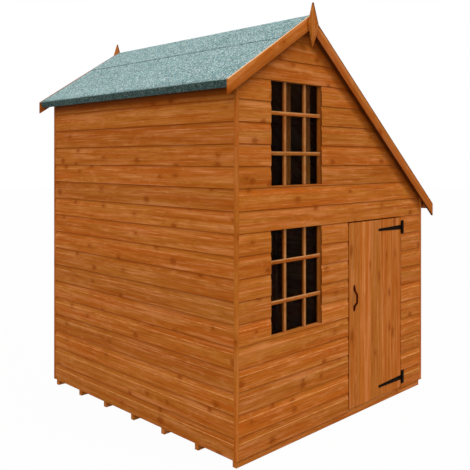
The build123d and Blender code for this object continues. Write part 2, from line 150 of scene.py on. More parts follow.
def stained_wood(name, grain, shade=1.0, stretch=1.0, blushed=1.0):
    """Orange-brown stained softwood with growth rings, fibres and knots. grain turns the
    pattern so that it runs along the timber, stretch draws its streaks out, and blushed says
    how far its hue wanders. The meshes carry an attribute, stick: the number of the timber,
    the middle of its width, and its stain, which paints light and shade: above even (0) it is
    painted shade, dark at 1 and near black at 2; below it the wood is paler, worn and painted
    highlight at -1, and the colour of bare wood, a painted highlight, at -2."""
    finish, tree, shader = new_finish(name)

    def math(operation, *values):
        return shade_node(tree, "Math", enumerate(values), operation=operation).outputs[0]

    def scaled(value, factor, *plus):
        return math("MULTIPLY_ADD" if plus else "MULTIPLY", value, factor, *plus)

    def vector(*values):
        return shade_node(tree, "CombineXYZ", enumerate(values)).outputs[0]

    def ramp(*limits):
        return shade_node(tree, "MapRange", enumerate(limits), interpolation_type="SMOOTHSTEP").outputs[0]

    def split(kind, source):
        return shade_node(tree, kind, {0: source}).outputs

    def pigment(*parts):
        return tuple(shade * part for part in parts) + (1,)

    place = shade_node(tree, "TexCoord").outputs["Object"]
    turned = shade_node(tree, "Mapping", {"Vector": place, "Rotation": grain}).outputs[0]
    along, thick, across = split("SeparateXYZ", turned)
    stick = shade_node(tree, "Attribute", attribute_name="stick").outputs["Vector"]
    number, middle, stain = split("SeparateXYZ", stick)
    number = math("ROUND", number)
    chance = shade_node(tree, "TexWhiteNoise", {"W": number}, noise_dimensions="1D")
    pick, second_pick, third_pick = split("SeparateColor", chance.outputs["Color"])[:3]
    run = scaled(pick, 41, math("DIVIDE", along, stretch))
    width = math("SUBTRACT", across, middle)

    def figure(density, second, third, detail, roughness=0.5):
        """Clouds drawn out along the timber: density says how often they change along it."""
        return clouds(tree, vector(scaled(run, density), second, third), 1, detail, roughness)

    # Knots, a few to a board, ragged and soft at their rim, with the rings bent about them.
    ragged = figure(55, scaled(width, 90), number, 3, 0.6)
    bent = scaled(ragged, 0.26, math("DIVIDE", run, 0.17))
    high = scaled(number, 3, scaled(ragged, 0.24, scaled(width, 8.5)))
    spots = {"Vector": vector(bent, high, 0), "Scale": 1, "Randomness": 1}
    cell = shade_node(tree, "TexVoronoi", spots, voronoi_dimensions="2D").outputs
    near = cell["Distance"]
    lot = split("SeparateColor", cell["Color"])
    chosen = ramp(lot[0], 0.64, 0.68, 0, 1)
    size = scaled(lot[1], 0.10, 0.055)
    knot = scaled(chosen, ramp(math("DIVIDE", near, size), 0.35, 1.5, 1, 0))
    bulge = scaled(chosen, ramp(near, 0, 0.4, 1, 0))
    halo = scaled(scaled(bulge, bulge), scaled(ragged, 1.1))

    # Growth rings about a heart that wanders under the face of each board.
    side_step = scaled(second_pick, 0.08, scaled(figure(1.3, number, 0, 1), 0.11))
    out = math("SUBTRACT", math("ADD", width, side_step), 0.095)
    depth = scaled(figure(1.9, 7, number, 1), 0.10, 0.006)
    radius = math("SQRT", math("ADD", scaled(out, out), scaled(depth, depth)))
    ripple = figure(11, scaled(across, 70), thick, 2)
    radius = scaled(ripple, 0.0045, scaled(bulge, 0.012, radius))
    ring = math("FRACT", math("DIVIDE", radius, 0.0078))
    late = scaled(ramp(ring, 0.3, 0.9, 0, 1), ramp(ring, 0.92, 1, 1, 0))

    # Fibres, streaks and patches, and the stain that took them up unevenly.
    fibre = figure(9, scaled(across, 520), scaled(thick, 520), 3, 0.6)
    streak = figure(3.4, scaled(across, 115), scaled(thick, 115), 3, 0.55)
    patch = figure(2.1, scaled(across, 34), scaled(number, 1.7), 3, 0.55)
    blush = figure(1.2, scaled(across, 21), number, 3, 0.6)
    smudge = figure(11, scaled(across, 26), number, 2, 0.55)
    fleck = figure(42, scaled(across, 120), number, 2, 0.6)
    broken = figure(13, number, scaled(across, 9), 3, 0.6)
    worn_and_lit = scaled(broken, -1.5, scaled(stain, -1))

    # Above even the stain lays on dark brown and near black, painted shade; below it worn and bare colours,
    # worn edges and painted highlights. The dark brown also colours the knots.
    pale = pigment(0.614, 0.234, 0.076)
    warm = pigment(0.408, 0.092, 0.0075)
    gold = pigment(0.418, 0.136, 0.0160)
    deep = pigment(0.275, 0.058, 0.0020)
    knot_and_shade_brown = pigment(0.225, 0.040, 0.0012)
    worn = pigment(0.650, 0.275, 0.085)
    bare = pigment(0.780, 0.500, 0.290)
    shade_black = pigment(0.040, 0.008, 0.001)
    hue = ramp(scaled(third_pick, 0.10, blush), 0.35, 0.73, (1 - blushed) / 2, (1 + blushed) / 2)
    colour = blend(tree, hue, warm, gold)
    for share, laid in (
        (ramp(patch, 0.50, 0.70, 0, 0.52), pale),
        (ramp(patch, 0.30, 0.49, 0.52, 0), deep),
        (ramp(smudge, 0.54, 0.74, 0, 0.30), pale),
        (ramp(smudge, 0.28, 0.46, 0.30, 0), deep),
        (ramp(streak, 0.52, 0.74, 0, 0.70), pale),
        (ramp(streak, 0.26, 0.47, 0.64, 0), deep),
        (scaled(late, 0.22), deep),
        (ramp(fibre, 0.30, 0.62, 0.24, 0), deep),
        (ramp(fleck, 0.60, 0.80, 0, 0.45), deep),
        (halo, deep),
        (scaled(knot, 0.62), knot_and_shade_brown),
        # Painted shade from the stain, then worn edges and painted highlights.
        (ramp(scaled(streak, 0.5, stain), 0.30, 1.2, 0, 0.70), knot_and_shade_brown),
        (ramp(stain, 1, 2, 0, 0.85), shade_black),
        (ramp(worn_and_lit, -0.15, 0.60, 0, 0.85), worn),
        (ramp(stain, -1.1, -1.9, 0, 0.9), bare),
    ):
        colour = blend(tree, share, colour, laid)
    tone = ramp(pick, 0, 1, 0.93, 1.07)
    colour = blend(tree, 1, colour, vector(tone, tone, tone), "MULTIPLY")
    roughness = ramp(fibre, 0.25, 0.75, 0.72, 0.58)
    relief = scaled(knot, -0.8, scaled(late, -0.5, scaled(fibre, 0.8)))
    bump = shade_node(tree, "Bump", {"Distance": 0.0007, "Strength": 0.7, "Height": relief})
    feed(shader, {"Base Color": colour, "Roughness": roughness, "Normal": bump.outputs[0]})
    feed(shader, {"Specular IOR Level": 0.04})
    return finish


def shown(work, name, finish, body, slot, *stands_for):
    """A finished piece: its mesh is in place, and it rides on its body and stands for its
    plain solids."""
    mesh = bpy.data.meshes.new(name)
    work.to_mesh(mesh)
    work.free()
    mesh.materials.append(finish)
    piece = bpy.data.objects.new(name, mesh)
    bpy.context.collection.objects.link(piece)
    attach(piece, body)
    if stands_for:
        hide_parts(*stands_for)
    return piece


x_way = Vector((1, 0, 0))
y_way = Vector((0, 1, 0))
z_way = Vector((0, 0, 1))
along_x = (0, 0, 0)
along_y = (0, 0, -pi / 2)
along_z = (0, -pi / 2, 0)
wood_x = stained_wood("stained_wood_across", along_x)
wood_y = stained_wood("stained_wood_deep", along_y)
wood_z = stained_wood("stained_wood_upright", along_z)

ridge_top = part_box("felt_ridge")[1].z
ridge_x = (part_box("finial_front")[0].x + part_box("finial_front")[1].x) / 2
pitch = {-1: radians(32.5), 1: radians(39.7)}
under_boards = 0.017


def roof_plane(side, below):
    """A point on one slope's plane at a depth under the felt, and the plane's normal."""
    normal = Vector((side * sin(pitch[side]), 0, cos(pitch[side])))
    return Vector((ridge_x, 0, ridge_top)) - normal * below, normal


def scribe(work, point, normal, **clear):
    """Cuts a row of edges along a plane, for the stain to change at."""
    everything = work.verts[:] + work.edges[:] + work.faces[:]
    return bmesh.ops.bisect_plane(work, geom=everything, plane_co=point, plane_no=normal, **clear)["geom_cut"]


def saw(work, point, normal):
    """Cuts away what lies beyond a plane and closes the cut."""
    cut = scribe(work, point, normal, clear_outer=True)
    bmesh.ops.holes_fill(work, edges=[item for item in cut if isinstance(item, bmesh.types.BMEdge)], sides=0)


def pull(work, pulled, reach):
    """Moves the corners that an extrusion has made, and returns them."""
    moved = [item for item in pulled["geom"] if isinstance(item, bmesh.types.BMVert)]
    bmesh.ops.translate(work, verts=moved, vec=reach)
    return moved


def add_board(work, board):
    """Adds a finished board to the sheet that it belongs to."""
    copied = bpy.data.meshes.new("board")
    board.to_mesh(copied)
    board.free()
    work.from_mesh(copied)
    bpy.data.meshes.remove(copied)


# Painted shade under the eaves (0) and under the gables' left and right slope (-1, 1): the
# boards are painted dark down to the first depth below the roof and dark no more from the
# second. The third number is how dark. A corner right on the second line keeps its own stain.
painted_shade_bands = {0: (0.074, 0.120, 1.7), -1: (0.098, 0.200, 0.50), 1: (0.030, 0.135, 1.5)}
on_the_line = 1e-4
board_cover = 0.115
board_thickness = 0.012
board_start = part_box("left_wall_cladding")[0].z
scoop_depth = 0.0045
scoop_height = 0.033
scoop_flat = 0.004
scoop_points = 7
tongue = 0.007
lap_gap = 0.0006
lip_thickness = scoop_depth - lap_gap
lip_ease = 0.0012
arris = 0.0034
# How dark the painted shade in the board joints is, on the side walls and on the gables.
side_joint_shade = 0.71
gable_joint_shade = 0.49
door_margin = 0.1


def shiplap_profile(bottom, top, joint_shade):
    """Section of one board as (depth behind the face, height, stain). The arris is painted paler,
    partly wear and partly a painted highlight, most on the lower boards, and the last argument
    says how dark the painted shade under the lip and at the top of the scoop is."""
    worn = -1.15 + 0.3 * bottom
    rise = scoop_height - scoop_flat
    radius = (rise**2 + scoop_depth**2) / (2 * scoop_depth)
    sweep = asin(rise / radius)
    edge = top - scoop_height
    points = [(lip_thickness, bottom, joint_shade), (lip_ease, bottom, joint_shade), (0, bottom + lip_ease, joint_shade / 2)]
    points += [(0, bottom + 4 * lip_ease, 0), (0, edge - 2 * arris, 0), (0, edge - arris, worn)]
    for step in range(scoop_points + 1):
        angle = sweep * (1 - step / scoop_points)
        depth = scoop_depth - radius * (1 - cos(angle))
        stain = joint_shade * (step / scoop_points) ** 3 if step else worn
        points.append((depth, top - scoop_flat - radius * sin(angle), stain))
    points += [(scoop_depth, top + tongue - lap_gap, 1), (board_thickness, top + tongue - lap_gap, 0)]
    points += [(board_thickness, bottom + tongue, 0), (lip_thickness, bottom + tongue, 1)]
    return points


def shiplap(low, high, outward, openings=()):
    """Rows of boards on the wall that faces outward. An opening is (start, end, sill, head)
    along the wall, and the boards beside it and under its sill are pieces of their own."""
    side = Vector((abs(outward.y), abs(outward.x), 0))
    length = (high - low).dot(side)
    face = low if outward.x + outward.y < 0 else high
    # The side walls and the gables each get their own strength of painted shade in the joints.
    joint_shade = side_joint_shade if outward.x else gable_joint_shade
    work = bmesh.new()
    stick = work.verts.layers.float_vector.new("stick")
    for row in range(ceil((high.z - board_start) / board_cover)):
        bottom = board_start + row * board_cover
        top = bottom + board_cover
        pieces = []
        reached = 0
        for start, end, sill, head in openings:
            if bottom < head - tongue and top > sill + tongue:
                pieces.append((reached, start, None))
                if sill > bottom + tongue:
                    pieces.append((start, end, sill))
                reached = end
        pieces.append((reached, length, None))
        for start, end, sill in pieces:
            board = bmesh.new()
            board_stick = board.verts.layers.float_vector.new("stick")
            ring = []
            for depth, height, stain in shiplap_profile(bottom, top, joint_shade):
                base = low + side * start
                inward = face - outward * depth
                across_wall = Vector((inward.x, base.y)) if abs(outward.x) else Vector((base.x, inward.y))
                vert = board.verts.new((*across_wall, height))
                vert[board_stick] = (row + 40 * outward.x + 80 * outward.y, (bottom + top) / 2, stain)
                ring.append(vert)
            pulled = bmesh.ops.extrude_face_region(board, geom=[board.faces.new(ring)])
            pull(board, pulled, side * (end - start))
            bmesh.ops.recalc_face_normals(board, faces=board.faces)
            if sill:
                saw(board, z_way * sill, z_way)
            add_board(work, board)
    for slope in (-1, 1):
        saw(work, *roof_plane(slope, under_boards))
    # The boards under the roof's edges are painted with shade, fading between the two depths.
    for slope in (-1, 1):
        shade_full_to, shade_ends_at, most = painted_shade_bands[abs(outward.y) * slope]
        scribe(work, *roof_plane(slope, shade_full_to))
        scribe(work, *roof_plane(slope, shade_ends_at))
        point, normal = roof_plane(slope, 0)
        for vert in work.verts:
            share = min(1, (shade_ends_at - (point - vert.co).dot(normal)) / (shade_ends_at - shade_full_to))
            if share > on_the_line:
                vert[stick].z = max(vert[stick].z, most * share)
    return work


for node, outward, wood in (
    ("left_wall_cladding", -x_way, wood_y),
    ("right_wall_cladding", x_way, wood_y),
    ("back_wall_cladding", y_way, wood_x),
):
    boards = shiplap(*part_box(node), outward)
    shown(boards, node + "_boards", wood, "house", "stained_timber", node)

front_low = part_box("front_wall_window_side")[0]
front_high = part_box("front_wall_window_side")[1].copy()
front_high.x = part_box("front_wall_beside_door")[1].x
over_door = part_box("front_wall_over_door")[0]
beside_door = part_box("front_wall_beside_door")[0]
front_openings = []
for node in ("lower_window_glass", "upper_window_glass"):
    pane_low, pane_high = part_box(node)
    front_openings.append((pane_low.x - front_low.x, pane_high.x - front_low.x, pane_low.z, pane_high.z))
front_openings.append((over_door.x - front_low.x, beside_door.x - front_low.x, 0, over_door.z))
front_nodes = ("front_wall_window_side", "front_wall_over_door", "front_wall_beside_door")
front_boards = shiplap(front_low, front_high, -y_way, front_openings)
front = shown(front_boards, "front_wall_boards", wood_x, "house", "stained_timber", *front_nodes)
# The cut ends of the boards left of the doorway, at the windows, take a darker copy of the wood: partly the
# darker end grain, partly painted shade in the window reveals.
front.data.materials.append(stained_wood("shaded_end_grain", along_z, 0.50))
for polygon in front.data.polygons:
    if abs(polygon.normal.x) > 0.99 and polygon.center.x < over_door.x - door_margin:
        polygon.material_index = 1


# Sawn and planed timbers: corner strips, floor bearers, wall frames, roof timbers, the loft's
# joists and the door's ledges. Each keeps its solid's shape, with its sharp edges eased.
def sheet_of(node):
    """A node's solid, with its flat faces whole."""
    sheet = bmesh.new()
    sheet.from_mesh(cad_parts[node].data)
    bmesh.ops.remove_doubles(sheet, verts=sheet.verts, dist=1e-5)
    bmesh.ops.dissolve_limit(sheet, angle_limit=radians(1), verts=sheet.verts, edges=sheet.edges)
    return sheet


def ease_edges(work, ease, angle=15, segments=2, **limits):
    """Takes the edge off every corner that is sharper than an angle."""
    sharp = [edge for edge in work.edges if edge.calc_face_angle(0) > radians(angle)]
    bmesh.ops.bevel(
        work, geom=sharp, offset=ease, segments=segments, profile=0.5, affect="EDGES", material=-1, **limits
    )


def separate(work):
    """The corners of each timber in a mesh, timber by timber."""
    taken = set()
    for first in work.verts:
        if first in taken:
            continue
        found = [first]
        taken.add(first)
        for vert in found:
            for edge in vert.link_edges:
                other = edge.other_vert(vert)
                if other not in taken:
                    taken.add(other)
                    found.append(other)
        yield found


def eased(node, grain, ease):
    """A node's timbers with eased edges, each numbered for its own grain."""
    work = sheet_of(node)
    ease_edges(work, ease)
    stick = work.verts.layers.float_vector.new("stick")
    turned = Euler(grain).to_matrix()
    number = sum(map(ord, node)) % 89
    for found in separate(work):
        widths = [(turned @ vert.co).z for vert in found]
        number += 1
        for vert in found:
            vert[stick] = (number, (min(widths) + max(widths)) / 2, 0)
    return work


sawn_ease = 0.0012
bearer_ease = 0.0015
strip_ease = 0.0018
planed_ease = 0.002


def timber(node, grain, wood, ease=sawn_ease, body="house", slot="inside_timber"):
    """A node's timbers, eased and in place."""
    return shown(eased(node, grain, ease), node + "_timber", wood, body, slot, node)


# The left corner strips are painted darker, more so higher up, and the right ones along their
# outer edge: painted shade. So is the post on the right of the windows, painted darker where it
# shows beside the panes: painted shade in the window's recess.
both_ends = (("front", -1), ("back", 1))
both_sides = ((-1, "left"), (1, "right"))
strip_edge = 0.004
post_reach = 0.002
pane_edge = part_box("lower_window_glass")[1]
for end, outward in both_ends:
    for side, side_name in both_sides:
        node = f"corner_strip_{end}_{side_name}"
        work = eased(node, along_z, strip_ease)
        edge_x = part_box(node)[1].x - strip_edge
        if side > 0:
            scribe(work, x_way * edge_x, x_way)
        stick = work.verts.layers.float_vector["stick"]
        for vert in work.verts:
            if side < 0:
                vert[stick].z = 0.25 + 0.1 * vert.co.z
            elif vert.co.x > edge_x + strip_edge / 4:
                vert[stick].z = 1.3
        shown(work, node + "_batten", wood_z, "house", "stained_timber", node)
for node in ("front_wall_studs", "back_wall_studs", "side_wall_studs", "door_stops"):
    uprights = timber(node, along_z, wood_z)
    stick = uprights.data.attributes["stick"].data
    for vert in uprights.data.vertices:
        if vert.co.y < pane_edge.y and abs(vert.co.x - pane_edge.x - post_reach / 2) < post_reach:
            stick[vert.index].vector.z = 0.9
for node in ("front_wall_rails", "back_wall_plate", "loft_ledgers"):
    timber(node, along_x, wood_x)
for node in ("side_wall_plates", "roof_purlins", "ridge_beam", "eaves_rails", "loft_joists"):
    timber(node, along_y, wood_y)
timber("floor_bearers", along_x, wood_x, bearer_ease, slot="stained_timber")
timber("door_ledges", along_x, wood_x, planed_ease, "door", "stained_timber")


# Barge boards and gable rafters: they follow the slopes, and so does their grain. At the
# front the left one's top edge is painted pale, a painted highlight. Their lower edges are
# painted dark, painted shade. A finial like a spear head, its lower point pared back, covers
# the mitre of each pair.
slope_grain = {-1: (0, pitch[-1], 0), 1: (0, -pitch[1], 0)}
wood_slope = {
    -1: stained_wood("stained_wood_left_slope", slope_grain[-1]),
    1: stained_wood("stained_wood_right_slope", slope_grain[1]),
}
finial_waist = 0.120
finial_point = 0.0015
finial_ease = 0.0010
finial_drop = 0.008
finial_fullness = 0.54
finial_pared = (0.005, 0.0135)
finial_tip = 0.016
finial_number = 61
# How far in from the edges the painted shade on the barge boards and the finials reaches, how deep the
# painted shade above the barges' lowest edge goes, and where the painted shadow beside the mitre is full and
# where it ends.
edge_lines = (0.0062, 0.0092)
lower_edge_shade = 0.003
mitre_dark = 0.036
mitre_pale = 0.050
slack = 0.0004


def spear(low, high, outward):
    """A finial: straight flanks from its waist to the upper point, slightly full ones below,
    and the outer face pared back towards both points."""
    waist = high.z - finial_waist
    half_width = (high.x - low.x) / 2
    levels = (
        (high.z, finial_point, finial_pared[0]),
        (waist, half_width, 0),
        ((waist + low.z) / 2, finial_fullness * half_width, 0),
        (low.z - finial_drop, finial_point / 2, finial_pared[1]),
    )
    work = bmesh.new()
    inner = low.y if outward > 0 else high.y
    outline = [(-half, height) for height, half, pared in levels]
    outline += [(half, height) for height, half, pared in reversed(levels)]
    ring = [work.verts.new((ridge_x + across, inner, height)) for across, height in outline]
    pulled = bmesh.ops.extrude_face_region(work, geom=[work.faces.new(ring)])
    outer = pull(work, pulled, (0, outward * (high.y - low.y), 0))
    for height, half, pared in levels:
        pair = [vert for vert in outer if abs(vert.co.z - height) < 1e-5]
        bmesh.ops.translate(work, verts=pair, vec=(0, -outward * pared, 0))
        if pared == 0:
            bmesh.ops.connect_verts(work, verts=pair)
    bmesh.ops.recalc_face_normals(work, faces=work.faces)
    ease_edges(work, finial_ease)
    flank = Vector((high.z - waist, 0, half_width - finial_point)).normalized()
    corner = Vector((ridge_x + half_width, 0, waist))
    for line in edge_lines:
        scribe(work, corner - line * flank, flank)
    scribe(work, z_way * (high.z - finial_tip), z_way)
    # A strip along the right upper flank is painted dark, painted shade, and the top point is darker too.
    stick = work.verts.layers.float_vector.new("stick")
    for vert in work.verts:
        stain = 0
        if (vert.co - corner).dot(flank) > -edge_lines[0] - slack and vert.co.z > waist - 0.010:
            stain = 1.7
        if vert.co.z > high.z - finial_tip / 2:
            stain = 1.6
        vert[stick] = (finial_number + outward, ridge_x, stain)
    return work


for end, outward in both_ends:
    for side, side_name in both_sides:
        node = f"barge_board_{end}_{side_name}"
        work = eased(node, slope_grain[side], planed_ease)
        for line in edge_lines:
            scribe(work, *roof_plane(side, line))
        for place in (mitre_dark, mitre_pale):
            scribe(work, x_way * (ridge_x + side * place), x_way)
        stick = work.verts.layers.float_vector["stick"]
        top_point, up = roof_plane(side, 0)
        depths = {vert: (top_point - vert.co).dot(up) for vert in work.verts}
        lowest = max(depths.values())
        # Painted light and shade: the back pair are darker all over, and all are darker still by the finial,
        # a painted shadow; the front left top edge is pale; the other top edges, the right ones' outer strip,
        # the lowest edge and a band above it are dark.
        plain = 0.7 if end == "back" else 0
        for vert, depth in depths.items():
            near_mitre = (mitre_pale - abs(vert.co.x - ridge_x)) / (mitre_pale - mitre_dark)
            vert[stick].z = max(plain, 1.3 * min(1, near_mitre))
            if depth < slack:
                vert[stick].z = -1.7 if (end, side) == ("front", -1) else 1.4
            elif depth < edge_lines[0] + slack and side > 0:
                vert[stick].z = 1.6
            elif depth > lowest - slack:
                vert[stick].z = 1.9
            elif depth > lowest - lower_edge_shade:
                vert[stick].z = 0.7
        shown(work, node + "_timber", wood_slope[side], "house", "stained_timber", node)
    node = f"finial_{end}"
    shown(spear(*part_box(node), outward), node + "_timber", wood_z, "house", "stained_timber", node)
rafters = timber("gable_rafters", slope_grain[1], wood_slope[1])
rafters.data.materials.append(wood_slope[-1])
for polygon in rafters.data.polygons:
    polygon.material_index = 1 if polygon.center.x < ridge_x else 0


# Sheets of tongued and grooved boards: the floor, the loft floor and the roof under the
# felt. Each board is a piece of its own, with a fine V where it meets the next.
half_gap = 0.0003
thinnest_board = 0.002


def matched_boards(sheet, lay, cover, grain, number, vee=0.0015):
    """Saws a sheet into boards that lie side by side along lay, with a V between each two."""
    heights = [vert.co.dot(lay) for vert in sheet.verts]
    start = min(heights)
    turned = Euler(grain).to_matrix()
    work = bmesh.new()
    work.verts.layers.float_vector.new("stick")
    while start < max(heights) - thinnest_board:
        end = min(start + cover, max(heights))
        board = sheet.copy()
        saw(board, lay * (start + half_gap), -lay)
        saw(board, lay * (end - half_gap), lay)
        ease_edges(board, vee, segments=1)
        stick = board.verts.layers.float_vector.new("stick")
        middle = (turned @ (lay * (start + end) / 2)).z
        number += 1
        for vert in board.verts:
            vert[stick] = (number, middle, 0)
        add_board(work, board)
        start = end
    sheet.free()
    return work


for node, place, lay, cover, turn, shade, number in (
    ("floor_boards", "floor", x_way, 0.115, -pi / 2, 0.9, 300),
    ("loft_boards", "loft", y_way, 0.115, 0, 0.9, 340),
    ("roof_boards_left", "roof_left", y_way, 0.1161, pitch[-1], 0.95, 360),
    ("roof_boards_right", "roof_right", y_way, 0.1161, -pitch[1], 0.95, 400),
):
    grain = (pi / 2, 0, turn)
    wood = stained_wood("stained_wood_" + place, grain, shade)
    boards = matched_boards(sheet_of(node), lay, cover, grain, number)
    shown(boards, node + "_matched", wood, "house", "inside_timber", node)


# Mineral felt: two sheets that turn down over the eaves, and a ridge sheet lapped over both.
# Bitumen with crushed green-grey stone pressed in, held by clout nails along its edges.
def palette(tree, value, *steps, shift="CONSTANT"):
    """Colours picked by a value, each from where its step starts."""
    made = shade_node(tree, "ValToRGB", {0: value})
    made.color_ramp.interpolation = shift
    stops = made.color_ramp.elements
    while len(stops) < len(steps):
        stops.new(1)
    for stop, (start, colour) in zip(stops, steps):
        stop.position = start
        stop.color = colour + (1,)
    return made.outputs["Color"]


felt_stone, tree, shader = new_finish("mineral_felt")
place = shade_node(tree, "TexCoord").outputs["Object"]
clumps = shade_node(tree, "TexVoronoi", {"Vector": place, "Scale": 175}).outputs
grit = shade_node(tree, "TexVoronoi", {"Vector": place, "Scale": 640}).outputs
slate = palette(
    tree,
    shade_node(tree, "SeparateColor", {0: clumps["Color"]}).outputs[0],
    (0.00, (0.034, 0.073, 0.073)), (0.19, (0.095, 0.176, 0.181)), (0.36, (0.163, 0.271, 0.268)),
    (0.60, (0.245, 0.365, 0.359)), (0.76, (0.215, 0.421, 0.473)), (0.85, (0.619, 0.688, 0.671)),
)
chips = palette(
    tree,
    shade_node(tree, "SeparateColor", {0: grit["Color"]}).outputs[1],
    (0.00, (0.047, 0.086, 0.086)), (0.20, (0.129, 0.219, 0.219)), (0.55, (0.206, 0.310, 0.301)),
    (0.86, (0.447, 0.516, 0.516)),
)
colour = blend(tree, 0.18, slate, chips)
faded = shade_node(tree, "MapRange", enumerate((clouds(tree, place, 5, 4), 0.3, 0.7, 0, 0.18)))
colour = blend(tree, faded.outputs[0], colour, (0.40, 0.54, 0.53, 1))
# The fold over the eaves takes a darker copy of the colour: painted shade.
fold_shaded = blend(tree, 1, colour, (0.20, 0.24, 0.22, 1), "MULTIPLY")
colour = blend(tree, shade_node(tree, "Attribute", attribute_name="fold_shade").outputs["Fac"], colour, fold_shaded)
relief = {"Distance": 0.0009, "Strength": 0.6, "Height": grit["Distance"]}
bump = shade_node(tree, "Bump", relief, invert=True).outputs[0]
feed(shader, {"Base Color": colour, "Roughness": 0.9, "Specular IOR Level": 0.15, "Normal": bump})

felt_cut, tree, shader = new_finish("felt_cut_edge")
spots = clouds(tree, shade_node(tree, "TexCoord").outputs["Object"], 300)
bitumen = palette(tree, spots, (0, (0.010, 0.011, 0.011)), (1, (0.075, 0.085, 0.080)), shift="LINEAR")
feed(shader, {"Base Color": bitumen, "Roughness": 0.8})

felt_thickness = 0.0025
felt_fold = 0.0035
felt_lift = 0.0016
lifted_strip = 0.03
# The painted shade on the fold starts this far up the slope from the fold and is full after the next length.
fold_shade_lead = 0.006
fold_shade_fade = 0.005
side_ripple = 0.0010
ridge_ripple = 0.0006
verge_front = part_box("felt_ridge")[0].y
verge_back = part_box("felt_ridge")[1].y


def slope_point(side, run, below):
    """A point on a slope: how far down from the ridge, and how deep under the top felt."""
    down = Vector((side * cos(pitch[side]), 0, -sin(pitch[side])))
    return Vector((ridge_x, 0, ridge_top)) + down * run - roof_plane(side, 0)[1] * below


def face_out(work, way):
    """Turns the faces of an open sheet to the side that is seen."""
    bmesh.ops.recalc_face_normals(work, faces=work.faces)
    if sum(face.normal.dot(way) * face.calc_area() for face in work.faces) < 0:
        bmesh.ops.reverse_faces(work, faces=work.faces)


def felt_sheet(node, path, ripple, free_edges):
    """A sheet that follows a path of three points across the roof, rounded at its fold, with
    a faint ripple, its free edges a little lifted and its thin cut edges bare bitumen."""
    work = bmesh.new()
    verts = [work.verts.new((point.x, verge_front, point.z)) for point in path]
    edges = [work.edges.new(pair) for pair in zip(verts, verts[1:])]
    pull(work, bmesh.ops.extrude_edge_only(work, edges=edges), (0, verge_back - verge_front, 0))
    work.normal_update()
    ease_edges(work, felt_fold, segments=3)
    lengthwise = [edge for edge in work.edges if abs(edge.verts[0].co.y - edge.verts[1].co.y) > 0.1]
    bmesh.ops.subdivide_edges(work, edges=lengthwise, cuts=60, use_grid_fill=True)
    slopewise = [edge for edge in work.edges if edge.calc_length() > 0.1]
    bmesh.ops.subdivide_edges(work, edges=slopewise, cuts=24, use_grid_fill=True)
    face_out(work, z_way)
    work.normal_update()
    for vert in work.verts:
        lift = ripple * (0.5 + 0.5 * noise.noise(vert.co * 7.0 + Vector((0, 0, 3.1))))
        nearest = min((vert.co.xz - edge.xz).length for edge in free_edges)
        lift += felt_lift * max(0, 1 - nearest / lifted_strip) * (0.75 + 0.5 * noise.noise(vert.co * 11.0))
        vert.co += vert.normal * lift
    bmesh.ops.solidify(work, geom=work.faces[:], thickness=felt_thickness)
    bmesh.ops.recalc_face_normals(work, faces=work.faces)
    # The fold and a narrow strip of the slope above it are painted darker: painted shade.
    fold_shade = work.verts.layers.float.new("fold_shade")
    if node != "felt_ridge":
        slope = path[1] - path[0]
        for vert in work.verts:
            past = (vert.co - path[0]).dot(slope.normalized()) - slope.length
            vert[fold_shade] = min(1, max(0, (past + fold_shade_lead) / fold_shade_fade))
    sheet = shown(work, node + "_sheet", felt_stone, "house", "roof_felt", node)
    sheet.data.materials.append(felt_cut)
    corners = sheet.data.vertices
    for polygon in sheet.data.polygons:
        narrow = min((corners[a].co - corners[b].co).length for a, b in polygon.edge_keys)
        if narrow < 1.3 * felt_thickness and abs(polygon.normal.y) > 0.9:
            polygon.material_index = 1


for side, side_name in both_sides:
    node = f"felt_{side_name}"
    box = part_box(node)
    reach = (abs(box[side > 0].x - ridge_x) + felt_thickness * sin(pitch[side])) / cos(pitch[side])
    fold_depth = (ridge_top - box[0].z - reach * sin(pitch[side])) / cos(pitch[side])
    route = ((0, felt_thickness), (reach, felt_thickness), (reach, fold_depth))
    path = [slope_point(side, run, below) for run, below in route]
    felt_sheet(node, path, side_ripple, path[2:])
ridge_reach = (ridge_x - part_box("felt_ridge")[0].x) / cos(pitch[-1])
path = [slope_point(-1, ridge_reach, 0), slope_point(-1, 0, 0), slope_point(1, ridge_reach, 0)]
felt_sheet("felt_ridge", path, ridge_ripple, (path[0], path[2]))


# Windows: a fixed pane behind a bead on each side and two upright bars, with two cross bars
# in front of those: planed softwood pinned between the window posts. Behind the upper pane
# stand two broader slats, beside its bars.
upright_width = 0.018
upright_depth = 0.014
upright_spacing = 0.170
cross_width = 0.020
cross_depth = 0.006
cross_spacing = 0.218
bead_width = 0.009
slat_width = 0.040
slat_depth = 0.009
slat_room = 0.010
slat_aside = 0.046
glass_finish, tree, shader = new_finish("clear_glass")
feed(shader, {"Base Color": (0.55, 0.60, 0.58, 1), "Transmission Weight": 1, "IOR": 1.055, "Roughness": 0})
# The bars and the slats take darker copies of the wood: painted shade in the window's recess.
wood_bar = stained_wood("stained_wood_upright_bars", along_z, 0.67)
wood_cross_bar = stained_wood("stained_wood_cross_bars", along_x, 0.76)


def block(work, size, centre):
    """A square-edged piece of wood."""
    corners = bmesh.ops.create_cube(work, size=1)["verts"]
    bmesh.ops.scale(work, vec=size, verts=corners)
    bmesh.ops.translate(work, vec=centre, verts=corners)
    return corners


